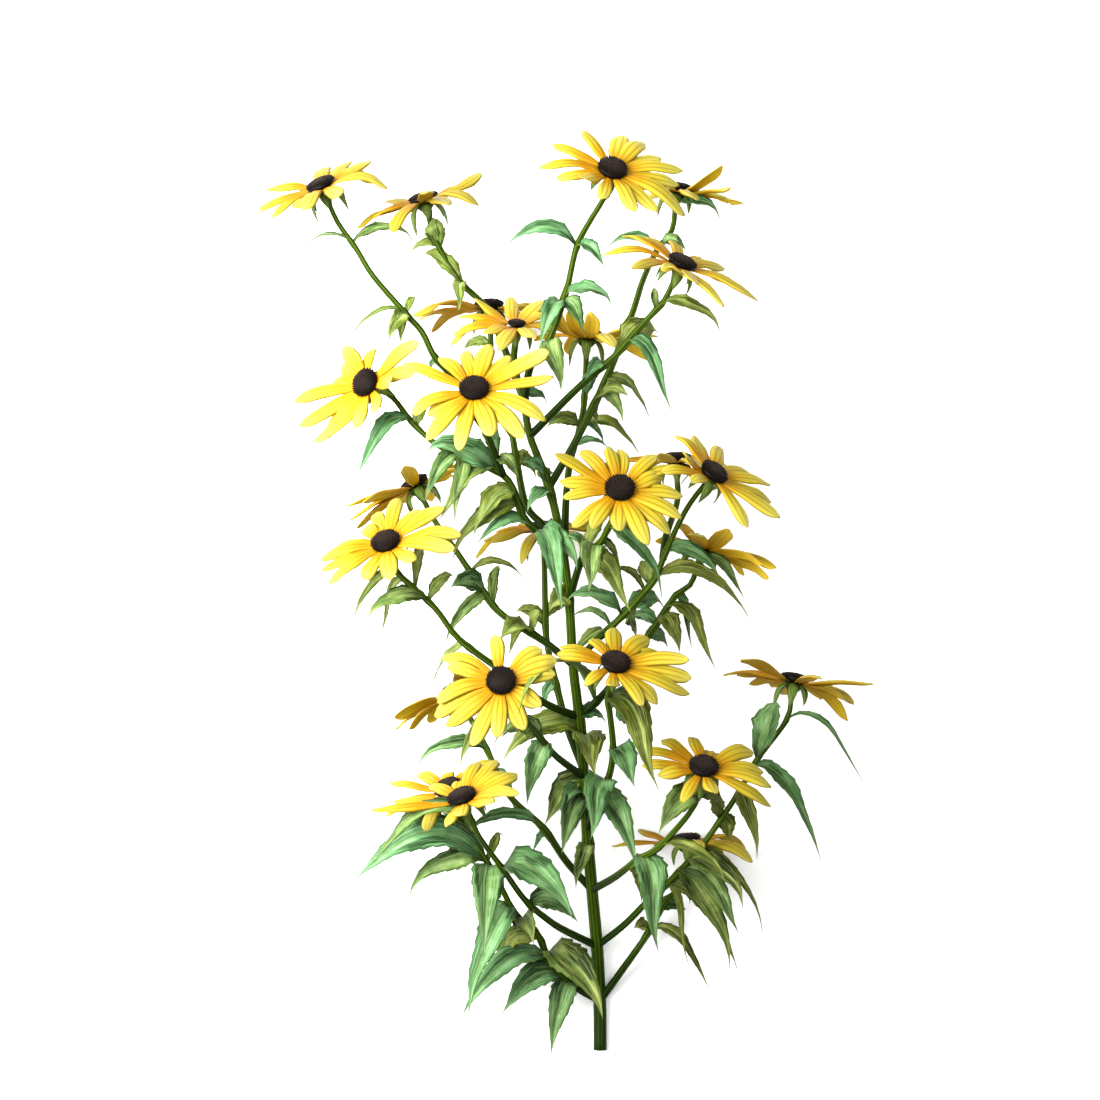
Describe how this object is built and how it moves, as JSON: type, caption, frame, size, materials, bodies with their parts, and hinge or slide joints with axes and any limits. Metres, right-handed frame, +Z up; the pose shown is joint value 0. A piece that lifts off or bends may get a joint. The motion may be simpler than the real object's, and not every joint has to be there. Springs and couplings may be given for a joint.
{
  "type": "orange coneflower cut stem",
  "caption": "Branched cut stem of orange coneflower lying down, with toothed leaves and golden daisy blooms that have dark domed discs and back-bent green sepals.",
  "frame": {"origin": "middle of the small flat under the cut end of the stem, on the surface it lies on", "axes": "+Y up the stem towards the crown, +X across the plant, +Z up from the surface"},
  "size_m": [0.3746, 0.5625, 0.1826],
  "materials": {
    "green": "fresh leaf and stem, satin",
    "ray": "fresh petal, velvety",
    "disc": "fine dry florets, matte"
  },
  "bodies": {
    "root": {"main_stem": "green", "branch_1": "green", "branch_2": "green", "branch_3": "green", "branch_4": "green", "branch_5": "green", "branch_6": "green", "branch_7": "green", "branch_8": "green", "branch_9": "green", "rays_1": "ray", "rays_2": "ray", "rays_3": "ray", "rays_4": "ray", "rays_5": "ray", "rays_6": "ray", "rays_7": "ray", "rays_8": "ray", "rays_9": "ray", "rays_10": "ray", "rays_11": "ray", "rays_12": "ray", "rays_13": "ray", "rays_14": "ray", "rays_15": "ray", "rays_16": "ray", "rays_17": "ray", "rays_18": "ray", "rays_19": "ray", "rays_20": "ray", "rays_21": "ray", "rays_22": "ray", "rays_23": "ray", "rays_24": "ray", "rays_25": "ray", "disc_1": "disc", "disc_2": "disc", "disc_3": "disc", "disc_4": "disc", "disc_5": "disc", "disc_6": "disc", "disc_7": "disc", "disc_8": "disc", "disc_9": "disc", "disc_10": "disc", "disc_11": "disc", "disc_12": "disc", "disc_13": "disc", "disc_14": "disc", "disc_15": "disc", "disc_16": "disc", "disc_17": "disc", "disc_18": "disc", "disc_19": "disc", "disc_20": "disc", "disc_21": "disc", "disc_22": "disc", "disc_23": "disc", "disc_24": "disc", "disc_25": "disc"}
  },
  "joints": []
}
